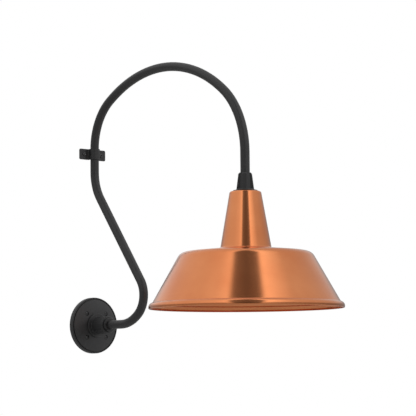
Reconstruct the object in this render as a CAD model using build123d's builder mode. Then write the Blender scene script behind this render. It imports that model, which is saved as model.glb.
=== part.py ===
from build123d import *

import os
from math import cos, radians, sin

os.makedirs("parts", exist_ok=True)

# Gooseneck wall sconce, in millimetres.
# The wall is the plane X = 0, +X points out of the wall and +Z points up.
# The origin is the centre of the wall plate's back, on the wall.

# ---- driving dimensions ----

# arm: 7/8 inch tube, bent in the plane Y = 0
pipe_radius = 11.1
pipe_bore_radius = 8.6
arm_reach = 604.5  # wall to the shade's axis
pipe_start_x = 17.0  # pipe end inside the hub
elbow_start_x = 125.0
elbow_open_radius = 110.5  # the elbow starts wide and then tightens
elbow_open_turn = 38.2
elbow_radius = 60.4
elbow_turn = 127.3  # degrees in all, up and back towards the wall
return_radius = 117.0  # bend that brings the rising pipe parallel to the wall
strap_run = 62.0  # straight length against the wall, where the strap sits
shoulder_radius = 137.0  # arch, first bend
shoulder_turn = 58.4
crown_turn = 70.6  # arch, middle bend; its radius follows from the reach
drop_radius = 203.0  # arch, last bend
pipe_end_z = 308.0  # pipe end inside the shade collar

# wall plate
plate_radius = 72.3
plate_edge = 12.0  # thickness at the rim
edge_round = 2.2
groove_outer_radius = 69.8  # turned groove between the rim's bead and the domed face
groove_inner_radius = 66.8
groove_slope = 0.6
groove_depth = 2.2
dome_foot_x = 12.3
dome_mid_radius = 50.0
dome_mid_x = 17.2
dome_top_x = 20.0
ring_radius = 30.6
ring_front_x = 25.0
ring_chamfer = 1.2
hub_radius = 22.0
hub_front_x = 71.0
hub_back_x = 11.0  # the hub's end inside the plate's hollow
hub_chamfer = 1.5
hollow_ring_x = 14.0  # depths of the hollow behind the ring, at mid radius and at the gasket
hollow_mid_x = 10.5
hollow_mid_radius = 46.0
hollow_rim_x = 7.0
gasket_outer_radius = 69.8
gasket_inner_radius = 58.0
gasket_thickness = 2.0
gasket_clearance = 0.2
screw_circle_radius = 42.85  # 3 3/8 inch circle
screw_seat_x = 15.0
spot_face_radius = 5.6
ground_screw_drop = 17.0  # below the hub's axis
ground_screw_radius = 1.6
ground_thread_length = 8.0
ground_hole_depth = 8.5
ground_head_radius = 4.0
ground_head_height = 3.0
pipe_fit = 0.05  # the hub's, lock ring's and collar's bores round the pipe

# number 10 machine screws
head_radius = 4.7
head_height = 3.0
head_round = 1.6
screw_point_chamfer = 0.8
neck_radius = 2.45
thread_radius = 2.2
screw_hole_radius = 2.7
plate_screw_reach = 20.0  # behind the wall plane
strap_screw_reach = 16.0
cross_slot_length = 4.6
cross_slot_width = 1.2
cross_slot_depth = 1.4
slot_overrun = 1.1  # a straight slot's length over its head's diameter

# set collar at the hub's mouth
lock_ring_radius = 17.5
lock_ring_end_x = 78.5
lock_ring_chamfer = 1.0
spigot_radius = 14.5  # the ring's narrower end, against the hub
spigot_length = 1.2
set_screw_radius = 2.0
set_screw_length = 5.0
set_hole_radius = 2.1
hex_socket_radius = 1.1
hex_socket_depth = 2.0

# strap
strap_z = 446.7
strap_length = 83.0
strap_height = 28.0
strap_thickness = 2.2
strap_hole_offset = 27.0
saddle_gap = 0.25
wall_clearance = 0.35  # pipe to wall, where the strap holds it
strap_bend = 3.0
ear_corner = 4.0
edge_pick = 0.1  # half-width of the zone in which an edge is looked for

# shade, radii about its axis and heights above its lower edge
shade_bottom_z = 23.0
sheet = 1.2
rim_radius = 228.6  # 18 inch shade
flange_height = 15.0
cone_foot_radius = 219.5
cone_top_radius = 153.9
cone_top_height = 131.3
shoulder_bend = 23.0
neck_foot_radius = 60.1
neck_foot_height = 140.7
neck_foot_bend = 4.5
neck_top_radius = 36.9
shade_height = 274.7
neck_top_bend = 5.0
hem_radius = 1.3
flange_bulge = 3.0  # how far in from the rim the flange's arc passes, and how far down

# fitter between pipe and shade
collar_gasket_radius = 28.8
collar_gasket_thickness = 2.2
collar_height = 41.7
collar_core_radius = 13.6  # at mid height
collar_core_taper = 0.8
collar_core_drop = 1.5  # the core ends below the ribs' tops
collar_foot_radius = 21.0
collar_top_radius = 16.0
collar_foot_height = 3.0
collar_foot_lip = 1.6
collar_tip = 3.0  # height of the sloped shoulder at the ribs' tops
collar_tip_radius = 13.2
collar_set_drop = 14.0  # set screw below the collar's top
rib_width = 11.0
rib_round = 1.6
rib_angle = 45.0

# clamping parts inside the shade's neck
nipple_radius = 8.5
nipple_bore_radius = 6.2
nipple_hole_radius = 8.8
thread_fit = 0.03  # threads are drawn as plain fits
nipple_end = 5.0  # above the lampholder's joint
nipple_top_gap = 0.5  # below the pipe's end
inner_washer_radius = 24.0
inner_washer_thickness = 1.6
spring_washer_radius = 13.5
spring_washer_thickness = 2.4
spring_slit = 1.2
spring_slit_angle = 20.0
nut_across_flats = 25.0
nut_thickness = 5.5

# lampholder, medium screw base
holder_cap_height = 17.0
holder_radius = 21.0
holder_body_height = 36.0
shell_inner_radius = 13.4
shell_thickness = 0.5
shell_length = 27.0
shell_floor = 3.5  # ceramic between the joint and the shell's top
holder_gap = 2.0  # lock nut to lampholder
cap_boss_radius = 12.5
cap_boss_height = 5.0
cap_side_height = 6.0
cap_wall = 2.0
cap_roof_height = 8.0  # inside, above the joint
body_wide_height = 26.0
body_step = 1.5
body_mouth_chamfer = 1.5
wire_hole_radius = 4.0
shell_fit = 0.1
shell_window_radius = 8.0
tie_offset = 16.3  # the tie screws' distance from the axis
tie_radius = 1.5
tie_length = 13.0
tie_hole_depth = 12.0
terminal_offset = 9.3
terminal_length = 5.0
small_head_radius = 2.6
small_head_height = 2.0
small_slot = 0.9
leaf_thickness = 0.4  # centre contact's spring leaf
leaf_width = 6.0
leaf_foot = 6.5  # the leaf's foot, bend, rise and tip, from the axis
leaf_bend = 4.5
leaf_rise = 1.5
leaf_tip = 2.5
contact_gap = 0.4  # over the lamp's end contact

# lamp
lamp_cap_radius = 13.0
lamp_cap_length = 22.0
lamp_cap_wall = 0.6
lamp_drop = 4.0  # shell's top to the lamp's end contact
lamp_end_height = 4.5  # insulator and contact above the cap
lamp_radius = 30.0
lamp_length = 108.0  # contact to the end of the glass
glass = 0.8
glass_in_cap = 12.0  # the glass neck's length inside the cap
glass_neck_end = 1.0  # straight neck below the cap's rim
glass_waist_radius = 19.0
glass_waist_drop = 20.0  # below the cap's rim
insulator_radius = 7.5
cap_cone_height = 1.2
cap_ring_width = 1.0  # flat ring of the cap round the insulator
lamp_fit = 0.1
contact_radius = 4.6
contact_shank_radius = 2.4
contact_thickness = 1.0
contact_slope = 1.6  # width of its sloped edge
contact_root = 0.5  # the shank's end above the cap's top
stem_radius = 2.6
stem_foot_gap = 1.0  # below the glass neck's upper end
stem_foot_height = 2.0
stem_foot_fit = 0.2
stem_flare_drop = 2.0  # end of the flare below the cap's rim
stem_flare_radius = 5.0
stem_end_height = 14.0  # above the bulb's centre
wire_root = 1.6
wire_spread = 13.0
wire_radius = 0.45
wire_drop = 2.0  # straight part below the stem
coil_radius = 0.9
coil_drop = 2.0  # filament below the bulb's centre

# leads
lead_radius = 1.5
lead_gap = 2.6  # each lead's distance from the pipe's centreline
lead_back_x = 2.0
lead_bend = 3.0
lead_turn_height = 7.0  # above the lampholder's joint, where a lead leaves the nipple
lead_tail = 0.9  # straight end at the terminal screw
lead_strip = 8.0  # bare copper behind the plate


def save(piece, name):
    """Label a finished piece and write it as its own file."""
    piece.label = name
    export_step(piece, f"parts/{name}.step")


# ---- derived places ----

shade_top_z = shade_bottom_z + shade_height
collar_foot_z = shade_top_z + collar_gasket_thickness
collar_top_z = collar_foot_z + collar_height
washer_top_z = shade_top_z - sheet
washer_bottom_z = washer_top_z - inner_washer_thickness
nut_top_z = washer_bottom_z - spring_washer_thickness
nut_bottom_z = nut_top_z - nut_thickness
holder_top_z = nut_bottom_z - holder_gap
holder_joint_z = holder_top_z - holder_cap_height
holder_bottom_z = holder_joint_z - holder_body_height
shell_top_z = holder_joint_z - shell_floor
lamp_top_z = shell_top_z - lamp_drop
lamp_bottom_z = lamp_top_z - lamp_length
strap_pipe_x = pipe_radius + wall_clearance  # pipe centre where the strap holds it

shade_axis = Axis((arm_reach, 0, 0), (0, 0, 1))
axis_section = Plane(origin=(arm_reach, 0, 0), x_dir=(1, 0, 0), z_dir=(0, -1, 0))
shade_section = Plane(origin=(arm_reach, 0, shade_bottom_z), x_dir=(1, 0, 0), z_dir=(0, -1, 0))
screw_angles = [45 + 90 * i for i in range(4)]


def level(z):
    """A horizontal plane on the shade's axis, facing up."""
    return Plane(origin=(arm_reach, 0, z), z_dir=(0, 0, 1))


def turned_level(z, angle):
    """The same, with its own X turned by an angle about the axis."""
    return Plane(
        origin=(arm_reach, 0, z), x_dir=(cos(radians(angle)), sin(radians(angle)), 0), z_dir=(0, 0, 1)
    )


# ---- the gooseneck's centreline ----

# horizontal travel of each stretch gives the length of the sloping riser
riser_length = (
    elbow_start_x
    + elbow_open_radius * sin(radians(elbow_open_turn))
    + elbow_radius * (sin(radians(elbow_turn)) - sin(radians(elbow_open_turn)))
    - return_radius * (1 - sin(radians(elbow_turn)))
    - strap_pipe_x
) / -cos(radians(elbow_turn))
# the crown's radius closes the arch onto the shade's axis
crown_radius = (
    arm_reach
    - strap_pipe_x
    - shoulder_radius * (1 - cos(radians(shoulder_turn)))
    - drop_radius * (1 + cos(radians(shoulder_turn + crown_turn)))
) / (cos(radians(shoulder_turn)) - cos(radians(shoulder_turn + crown_turn)))
print("riser length", round(riser_length, 2), "crown radius", round(crown_radius, 2))


def gooseneck(start_x, end_z):
    """The arm's centreline from start_x behind or in the hub down to height end_z."""
    with BuildLine(Plane.XZ) as route:
        root = Line((start_x, 0), (elbow_start_x, 0))
        opening = JernArc(root @ 1, root % 1, elbow_open_radius, elbow_open_turn)
        elbow = JernArc(opening @ 1, opening % 1, elbow_radius, elbow_turn - elbow_open_turn)
        riser = Line(elbow @ 1, (elbow @ 1) + (elbow % 1) * riser_length)
        back = JernArc(riser @ 1, riser % 1, return_radius, 90 - elbow_turn)
        against_wall = Line(back @ 1, (back @ 1) + (back % 1) * strap_run)
        shoulder = JernArc(against_wall @ 1, against_wall % 1, shoulder_radius, -shoulder_turn)
        crown = JernArc(shoulder @ 1, shoulder % 1, crown_radius, -crown_turn)
        drop = JernArc(crown @ 1, crown % 1, drop_radius, shoulder_turn + crown_turn - 180)
        Line(drop @ 1, Vector((drop @ 1).X, 0, end_z))
    return route.line


arm_path = gooseneck(pipe_start_x, pipe_end_z)
lead_path = gooseneck(lead_back_x, holder_joint_z + lead_turn_height)

with BuildPart() as arm_tube:
    with BuildSketch(Plane.YZ.offset(pipe_start_x)):
        Circle(pipe_radius)
        Circle(pipe_bore_radius, mode=Mode.SUBTRACT)
    sweep(path=arm_path)
save(arm_tube.part, "arm_tube")


# ---- wall plate and what fastens it ----

with BuildPart() as wall_plate:
    with BuildSketch(Plane.XY):
        with BuildLine():
            face = ThreePointArc(
                (dome_foot_x, groove_inner_radius),
                (dome_mid_x, dome_mid_radius),
                (dome_top_x, ring_radius),
            )
            Polyline(
                face @ 1,
                (ring_front_x - ring_chamfer, ring_radius),
                (ring_front_x, ring_radius - ring_chamfer),
                (ring_front_x, hub_radius + ring_chamfer),
                (ring_front_x + ring_chamfer, hub_radius),
                (hub_front_x - hub_chamfer, hub_radius),
                (hub_front_x, hub_radius - hub_chamfer),
                (hub_front_x, pipe_radius + pipe_fit),
                (hub_back_x, pipe_radius + pipe_fit),
                (hub_back_x, hub_radius),
                (hollow_ring_x, ring_radius),
                (hollow_mid_x, hollow_mid_radius),
                (hollow_rim_x, gasket_inner_radius),
                (gasket_thickness, gasket_inner_radius),
                (gasket_thickness, gasket_outer_radius),
                (0, gasket_outer_radius),
                (0, plate_radius),
                (plate_edge - edge_round, plate_radius),
            )
            RadiusArc(
                (plate_edge - edge_round, plate_radius), (plate_edge, plate_radius - edge_round), edge_round
            )
            Polyline(
                (plate_edge, plate_radius - edge_round),
                (plate_edge, groove_outer_radius),
                (plate_edge - groove_depth, groove_outer_radius - groove_slope),
                (plate_edge - groove_depth, groove_inner_radius + groove_slope),
                face @ 0,
            )
        make_face()
    revolve(axis=Axis.X)
    # spot faces and clearance holes for the four plate screws
    with BuildSketch(Plane.YZ.offset(screw_seat_x)):
        with PolarLocations(screw_circle_radius, len(screw_angles), start_angle=screw_angles[0]):
            Circle(spot_face_radius)
    extrude(amount=ring_front_x, mode=Mode.SUBTRACT)
    with BuildSketch(Plane.YZ):
        with PolarLocations(screw_circle_radius, len(screw_angles), start_angle=screw_angles[0]):
            Circle(screw_hole_radius)
    extrude(amount=ring_front_x, mode=Mode.SUBTRACT)
    # tapped hole for the earthing screw, in the thick ground round the hub
    with BuildSketch(Plane.YZ.offset(hub_back_x)):
        with Locations((0, -ground_screw_drop)):
            Circle(ground_screw_radius)
    extrude(amount=ground_hole_depth, mode=Mode.SUBTRACT)
save(wall_plate.part, "wall_plate")

with BuildPart() as wall_gasket:
    with BuildSketch(Plane.YZ):
        Circle(gasket_outer_radius - gasket_clearance)
        Circle(gasket_inner_radius + gasket_clearance, mode=Mode.SUBTRACT)
    extrude(amount=gasket_thickness)
save(wall_gasket.part, "wall_gasket")


def pan_screw(seat_x, reach):
    """Pan-head screw along X: its head stands on seat_x and its thread ends at -reach."""
    with BuildPart() as screw:
        with BuildSketch(Plane.YZ.offset(seat_x)):
            Circle(head_radius)
        extrude(amount=head_height)
        fillet(screw.faces().sort_by(Axis.X)[-1].edges(), head_round)
        with BuildSketch(Plane.YZ.offset(seat_x)):
            Circle(neck_radius)
        extrude(amount=-seat_x)
        with BuildSketch(Plane.YZ):
            Circle(thread_radius)
        extrude(amount=-reach)
        chamfer(screw.faces().sort_by(Axis.X)[0].edges(), screw_point_chamfer)
        with BuildSketch(Plane.YZ.offset(seat_x + head_height)):
            Rectangle(cross_slot_length, cross_slot_width)
            Rectangle(cross_slot_width, cross_slot_length)
        extrude(amount=-cross_slot_depth, mode=Mode.SUBTRACT)
    return screw.part


def on_circle(radius, angle):
    """A place on a circle about the X axis, the angle taken from +Y towards +Z."""
    return Location((0, radius * cos(radians(angle)), radius * sin(radians(angle))))


plate_screw = pan_screw(screw_seat_x, plate_screw_reach)
plate_screws = Compound([plate_screw.moved(on_circle(screw_circle_radius, a)) for a in screw_angles])
save(plate_screws, "plate_screws")

with BuildPart() as ground_screw:
    with BuildSketch(Plane.YZ.offset(hub_back_x)):
        RegularPolygon(ground_head_radius, 6)
    extrude(amount=-ground_head_height)
    with BuildSketch(Plane.YZ.offset(hub_back_x)):
        Circle(ground_screw_radius)
    extrude(amount=ground_thread_length)
    # driver slot right across the head
    with BuildSketch(Plane.YZ.offset(hub_back_x - ground_head_height)):
        Rectangle(2 * slot_overrun * ground_head_radius, cross_slot_width)
    extrude(amount=cross_slot_depth, mode=Mode.SUBTRACT)
save(ground_screw.part.moved(Location((0, 0, -ground_screw_drop))), "ground_screw")


# ---- set collar at the hub's mouth ----

set_direction = (0, -sin(radians(45)), -sin(radians(45)))
set_plane = Plane(
    origin=((hub_front_x + spigot_length + lock_ring_end_x) / 2, 0, 0),
    x_dir=(1, 0, 0),
    z_dir=set_direction,
)

with BuildPart() as lock_ring:
    with BuildSketch(Plane.XY):
        with BuildLine():
            Polyline(
                (hub_front_x, pipe_radius + pipe_fit),
                (hub_front_x, spigot_radius),
                (hub_front_x + spigot_length, spigot_radius),
                (hub_front_x + spigot_length, lock_ring_radius),
                (lock_ring_end_x - lock_ring_chamfer, lock_ring_radius),
                (lock_ring_end_x, lock_ring_radius - lock_ring_chamfer),
                (lock_ring_end_x, pipe_radius + pipe_fit),
                close=True,
            )
        make_face()
    revolve(axis=Axis.X)
    with BuildSketch(set_plane):
        Circle(set_hole_radius)
    extrude(amount=2 * lock_ring_radius, mode=Mode.SUBTRACT)
save(lock_ring.part, "lock_ring")

with BuildPart() as ring_set_screw:
    with BuildSketch(set_plane.offset(pipe_radius)):
        Circle(set_screw_radius)
    extrude(amount=set_screw_length)
    with BuildSketch(set_plane.offset(pipe_radius + set_screw_length)):
        RegularPolygon(hex_socket_radius, 6)
    extrude(amount=-hex_socket_depth, mode=Mode.SUBTRACT)
save(ring_set_screw.part, "ring_set_screw")


# ---- strap that holds the arch against the wall ----

saddle_inner = pipe_radius + saddle_gap
saddle_outer = saddle_inner + strap_thickness

with BuildPart() as pipe_strap:
    with BuildSketch(Plane.XY.offset(strap_z - strap_height / 2)):
        with BuildLine():
            Line((strap_pipe_x + saddle_inner, 0), (strap_pipe_x + saddle_outer, 0))
            RadiusArc((strap_pipe_x + saddle_outer, 0), (strap_pipe_x, saddle_outer), -saddle_outer)
            Polyline(
                (strap_pipe_x, saddle_outer),
                (strap_thickness, saddle_outer),
                (strap_thickness, strap_length / 2),
                (0, strap_length / 2),
                (0, saddle_inner),
                (strap_pipe_x, saddle_inner),
            )
            RadiusArc((strap_pipe_x, saddle_inner), (strap_pipe_x + saddle_inner, 0), saddle_inner)
        make_face()
        mirror(about=Plane.XZ)
    extrude(amount=strap_height)
    # soft bends where ears meet saddle, then rounded ear corners
    bends = pipe_strap.edges().filter_by(Axis.Z).filter_by_position(
        Axis.X, strap_thickness - edge_pick, strap_thickness + edge_pick
    )
    saddle_reach = saddle_outer + edge_pick
    fillet(bends.filter_by_position(Axis.Y, -saddle_reach, saddle_reach), strap_bend)
    corners = pipe_strap.edges().filter_by(Axis.X)
    fillet(corners.group_by(Axis.Y)[0] + corners.group_by(Axis.Y)[-1], ear_corner)
    with Locations(Plane.YZ.offset(strap_thickness) * Pos(0, strap_z)):
        with Locations((-strap_hole_offset, 0), (strap_hole_offset, 0)):
            Hole(screw_hole_radius, depth=strap_thickness * 2)
save(pipe_strap.part, "pipe_strap")

strap_screw = pan_screw(strap_thickness, strap_screw_reach)
strap_screws = Compound(
    [strap_screw.moved(Location((0, side * strap_hole_offset, strap_z))) for side in (-1, 1)]
)
save(strap_screws, "strap_screws")


# ---- leads through the arm ----

for name, side in (("live_lead", 1), ("neutral_lead", -1)):
    with BuildPart() as lead:
        with BuildSketch(Plane.YZ.offset(lead_back_x)):
            Circle(lead_radius)
        sweep(path=lead_path)
        # out of the nipple's end and across to its terminal screw
        with BuildLine(Plane.YZ.offset(arm_reach)) as tail:
            drop = Line((0, holder_joint_z + lead_turn_height), (0, holder_joint_z + lead_bend + lead_radius))
            turn = JernArc(drop @ 1, drop % 1, lead_bend, side * 90)
            Line(turn @ 1, (turn @ 1) + (turn % 1) * lead_tail)
        with BuildSketch(level(holder_joint_z + lead_turn_height)):
            Circle(lead_radius)
        sweep(path=tail.line)
        # stripped copper end, behind the plate
        with BuildSketch(Plane.YZ.offset(lead_back_x)):
            Circle(lead_radius / 2)
        extrude(amount=-lead_strip)
    save(lead.part.moved(Location((0, side * lead_gap, 0))), name)


# ---- fitter on the pipe's end ----

with BuildPart() as shade_collar:
    with BuildSketch(level(collar_foot_z)):
        Circle(collar_foot_radius + collar_foot_lip)
    with BuildSketch(level(collar_foot_z + collar_foot_height)):
        Circle(collar_foot_radius)
    loft()
    with BuildSketch(level(collar_foot_z)):
        Circle(collar_core_radius + collar_core_taper)
    with BuildSketch(level(collar_top_z - collar_core_drop)):
        Circle(collar_core_radius - collar_core_taper)
    loft()
    # four tapered ribs: two wide crossed bars, narrower towards the top
    for bar_angle in (rib_angle, rib_angle + 90):
        for low, low_reach, high, high_reach in (
            (0, collar_foot_radius, collar_height - collar_tip, collar_top_radius),
            (collar_height - collar_tip, collar_top_radius, collar_height, collar_tip_radius),
        ):
            with BuildSketch(turned_level(collar_foot_z + low, bar_angle)):
                RectangleRounded(2 * low_reach, rib_width, rib_round)
            with BuildSketch(turned_level(collar_foot_z + high, bar_angle)):
                RectangleRounded(2 * high_reach, rib_width, rib_round)
            loft()
    # socket for the pipe, tapped hole for the nipple
    with BuildSketch(level(pipe_end_z)):
        Circle(pipe_radius + pipe_fit)
    extrude(amount=collar_height, mode=Mode.SUBTRACT)
    with BuildSketch(level(collar_foot_z)):
        Circle(nipple_radius + thread_fit)
    extrude(amount=collar_height, mode=Mode.SUBTRACT)
    # tapped hole in the rib that faces the wall
    set_back = Plane(
        origin=(arm_reach, 0, collar_top_z - collar_set_drop),
        x_dir=(0, 0, 1),
        z_dir=(-cos(radians(rib_angle)), sin(radians(rib_angle)), 0),
    )
    with BuildSketch(set_back):
        Circle(set_hole_radius)
    extrude(amount=2 * collar_foot_radius, mode=Mode.SUBTRACT)
save(shade_collar.part, "shade_collar")

with BuildPart() as collar_set_screw:
    with BuildSketch(set_back.offset(pipe_radius)):
        Circle(set_screw_radius)
    extrude(amount=set_screw_length)
    with BuildSketch(set_back.offset(pipe_radius + set_screw_length)):
        RegularPolygon(hex_socket_radius, 6)
    extrude(amount=-hex_socket_depth, mode=Mode.SUBTRACT)
save(collar_set_screw.part, "collar_set_screw")

with BuildPart() as collar_gasket:
    with BuildSketch(level(shade_top_z)):
        Circle(collar_gasket_radius)
        Circle(nipple_hole_radius, mode=Mode.SUBTRACT)
    extrude(amount=collar_gasket_thickness)
save(collar_gasket.part, "collar_gasket")


# ---- shade ----

with BuildPart() as copper_shade:
    with BuildSketch(shade_section):
        # outer face of the sheet, from the neck's hole to the flange
        with BuildLine():
            outside = FilletPolyline(
                (nipple_hole_radius, shade_height),
                (neck_top_radius, shade_height),
                (neck_foot_radius, neck_foot_height),
                (cone_top_radius, cone_top_height),
                (cone_foot_radius, flange_height),
                radius=[neck_top_bend, neck_foot_bend, shoulder_bend],
            )
            ThreePointArc(
                outside @ 1,
                (rim_radius - flange_bulge, flange_height - flange_bulge),
                (rim_radius, hem_radius),
            )
            offset(amount=sheet, side=Side.RIGHT)
        make_face()
    revolve(axis=shade_axis)
    # hemmed lower edge
    with BuildSketch(shade_section):
        with Locations((rim_radius - hem_radius, hem_radius)):
            Circle(hem_radius)
    revolve(axis=shade_axis)
save(copper_shade.part, "copper_shade")


# ---- clamping parts in the neck ----

with BuildPart() as shade_nipple:
    with BuildSketch(level(holder_joint_z + nipple_end)):
        Circle(nipple_radius)
        Circle(nipple_bore_radius, mode=Mode.SUBTRACT)
    extrude(amount=pipe_end_z - nipple_top_gap - holder_joint_z - nipple_end)
save(shade_nipple.part, "shade_nipple")

with BuildPart() as inner_washer:
    with BuildSketch(level(washer_bottom_z)):
        Circle(inner_washer_radius)
        Circle(nipple_hole_radius, mode=Mode.SUBTRACT)
    extrude(amount=inner_washer_thickness)
save(inner_washer.part, "inner_washer")

with BuildPart() as spring_washer:
    with BuildSketch(level(nut_top_z)):
        Circle(spring_washer_radius)
        Circle(nipple_hole_radius, mode=Mode.SUBTRACT)
        with Locations(((spring_washer_radius + nipple_hole_radius) / 2, 0)):
            Rectangle(nipple_hole_radius, spring_slit, rotation=spring_slit_angle, mode=Mode.SUBTRACT)
    extrude(amount=spring_washer_thickness)
save(spring_washer.part, "spring_washer")

with BuildPart() as lock_nut:
    with BuildSketch(level(nut_bottom_z)):
        RegularPolygon(nut_across_flats / 2, 6, major_radius=False)
        Circle(nipple_radius + thread_fit, mode=Mode.SUBTRACT)
    extrude(amount=nut_thickness)
save(lock_nut.part, "lock_nut")


# ---- lampholder ----

with BuildPart() as lampholder_cap:
    with BuildSketch(axis_section):
        with BuildLine():
            Polyline(
                (nipple_radius + thread_fit, holder_top_z),
                (cap_boss_radius, holder_top_z),
                (cap_boss_radius, holder_top_z - cap_boss_height),
                (holder_radius, holder_joint_z + cap_side_height),
                (holder_radius, holder_joint_z),
                (holder_radius - cap_wall, holder_joint_z),
                (holder_radius - cap_wall, holder_joint_z + cap_side_height - cap_wall),
                (cap_boss_radius, holder_joint_z + cap_roof_height),
                (nipple_radius + thread_fit, holder_joint_z + cap_roof_height),
                close=True,
            )
        make_face()
    revolve(axis=shade_axis)
save(lampholder_cap.part, "lampholder_cap")

cavity_radius = shell_inner_radius + shell_thickness + shell_fit

with BuildPart() as lampholder_body:
    with BuildSketch(axis_section):
        with BuildLine():
            Polyline(
                (wire_hole_radius, holder_joint_z),
                (holder_radius - cap_wall, holder_joint_z),
                (holder_radius, holder_joint_z - cap_wall),
                (holder_radius, holder_joint_z - body_wide_height),
                (holder_radius - body_step, holder_joint_z - body_wide_height - body_step),
                (holder_radius - body_step, holder_bottom_z + body_mouth_chamfer),
                (holder_radius - body_step - body_mouth_chamfer, holder_bottom_z),
                (cavity_radius, holder_bottom_z),
                (cavity_radius, shell_top_z),
                (wire_hole_radius, shell_top_z),
                close=True,
            )
        make_face()
    revolve(axis=shade_axis)
    # holes for the two tie screws and the two terminal screws
    with BuildSketch(level(holder_joint_z)):
        with Locations((tie_offset, 0), (-tie_offset, 0)):
            Circle(tie_radius)
    extrude(amount=-tie_hole_depth, mode=Mode.SUBTRACT)
    with BuildSketch(level(holder_joint_z)):
        with Locations((0, terminal_offset), (0, -terminal_offset)):
            Circle(tie_radius)
    extrude(amount=-shell_floor, mode=Mode.SUBTRACT)
save(lampholder_body.part, "lampholder_body")

with BuildPart() as screw_shell:
    with BuildSketch(level(shell_top_z - shell_length)):
        Circle(shell_inner_radius + shell_thickness)
        Circle(shell_inner_radius, mode=Mode.SUBTRACT)
    extrude(amount=shell_length)
    with BuildSketch(level(shell_top_z - shell_thickness)):
        Circle(shell_inner_radius)
        Circle(shell_window_radius, mode=Mode.SUBTRACT)
    extrude(amount=shell_thickness)
save(screw_shell.part, "screw_shell")

with BuildPart() as centre_contact:
    with BuildSketch(axis_section):
        with BuildLine():
            Polyline(
                (-leaf_foot, shell_top_z - leaf_thickness),
                (-leaf_bend, shell_top_z - leaf_thickness),
                (-leaf_rise, lamp_top_z + contact_gap),
                (leaf_tip, lamp_top_z + contact_gap),
            )
            offset(amount=leaf_thickness, side=Side.LEFT)
        make_face()
    extrude(amount=leaf_width / 2, both=True)
save(centre_contact.part, "centre_contact")


def small_screw(head_z, length):
    """Cheese-head screw on the shade's axis, head top at head_z, thread downwards."""
    with BuildPart() as screw:
        with BuildSketch(level(head_z)):
            Circle(small_head_radius)
        extrude(amount=-small_head_height)
        with BuildSketch(level(head_z - small_head_height)):
            Circle(tie_radius - shell_fit)
        extrude(amount=small_head_height - length)
        with BuildSketch(level(head_z)):
            Rectangle(2 * slot_overrun * small_head_radius, small_slot)
        extrude(amount=-small_slot, mode=Mode.SUBTRACT)
    return screw.part


tie_screw = small_screw(holder_joint_z + small_head_height, tie_length)
lampholder_screws = Compound(
    [tie_screw.moved(Location((side * tie_offset, 0, 0))) for side in (-1, 1)]
)
save(lampholder_screws, "lampholder_screws")

terminal_screw = small_screw(holder_joint_z + small_head_height, terminal_length)
terminal_screws = Compound(
    [terminal_screw.moved(Location((0, side * terminal_offset, 0))) for side in (-1, 1)]
)
save(terminal_screws, "terminal_screws")


# ---- lamp ----

cap_top_z = lamp_top_z - lamp_end_height
cap_bottom_z = cap_top_z - lamp_cap_length
bulb_centre_z = lamp_bottom_z + lamp_radius

with BuildPart() as lamp_cap:
    with BuildSketch(level(cap_bottom_z)):
        Circle(lamp_cap_radius)
        Circle(lamp_cap_radius - lamp_cap_wall, mode=Mode.SUBTRACT)
    extrude(amount=lamp_cap_length)
    with BuildSketch(axis_section):
        with BuildLine():
            Polyline(
                (lamp_cap_radius - lamp_cap_wall, cap_top_z - lamp_cap_wall),
                (lamp_cap_radius, cap_top_z - lamp_cap_wall),
                (lamp_cap_radius, cap_top_z),
                (insulator_radius + cap_ring_width, cap_top_z + cap_cone_height),
                (insulator_radius, cap_top_z + cap_cone_height),
                (insulator_radius, cap_top_z + cap_cone_height / 2),
                close=True,
            )
        make_face()
    revolve(axis=shade_axis)
save(lamp_cap.part, "lamp_cap")

with BuildPart() as lamp_insulator:
    with BuildSketch(axis_section):
        with BuildLine():
            Polyline(
                (contact_shank_radius + lamp_fit, cap_top_z),
                (insulator_radius - lamp_fit, cap_top_z),
                (insulator_radius - lamp_fit, cap_top_z + cap_cone_height),
                (contact_radius + 2 * lamp_fit, lamp_top_z - contact_thickness),
                (contact_shank_radius + lamp_fit, lamp_top_z - contact_thickness),
                close=True,
            )
        make_face()
    revolve(axis=shade_axis)
save(lamp_insulator.part, "lamp_insulator")

with BuildPart() as lamp_contact:
    with BuildSketch(axis_section):
        with BuildLine():
            Polyline(
                (0, cap_top_z + contact_root),
                (contact_shank_radius, cap_top_z + contact_root),
                (contact_shank_radius, lamp_top_z - contact_thickness),
                (contact_radius, lamp_top_z - contact_thickness),
                (contact_radius - contact_slope, lamp_top_z),
                (0, lamp_top_z),
                close=True,
            )
        make_face()
    revolve(axis=shade_axis)
save(lamp_contact.part, "lamp_contact")

glass_neck_radius = lamp_cap_radius - lamp_cap_wall - lamp_fit
glass_top_z = cap_bottom_z + glass_in_cap

with BuildPart() as lamp_envelope:
    with BuildSketch(axis_section):
        with BuildLine():
            for inset in (0, glass):
                belly = lamp_radius - inset
                neck = glass_neck_radius - inset
                neck_side = Line((neck, glass_top_z), (neck, cap_bottom_z - glass_neck_end))
                flare = Spline(
                    neck_side @ 1,
                    (glass_waist_radius - inset, cap_bottom_z - glass_waist_drop),
                    (belly, bulb_centre_z),
                    tangents=[(0, -1), (0, -1)],
                )
                ThreePointArc(
                    flare @ 1,
                    (belly * cos(radians(45)), bulb_centre_z - belly * sin(radians(45))),
                    (0, lamp_bottom_z + inset),
                )
            Line((glass_neck_radius, glass_top_z), (glass_neck_radius - glass, glass_top_z))
            Line((0, lamp_bottom_z), (0, lamp_bottom_z + glass))
        make_face()
    revolve(axis=shade_axis)
save(lamp_envelope.part, "lamp_envelope")

stem_bottom_z = bulb_centre_z + stem_end_height
stem_foot_radius = glass_neck_radius - glass - stem_foot_fit
stem_top_z = glass_top_z - stem_foot_gap

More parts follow.
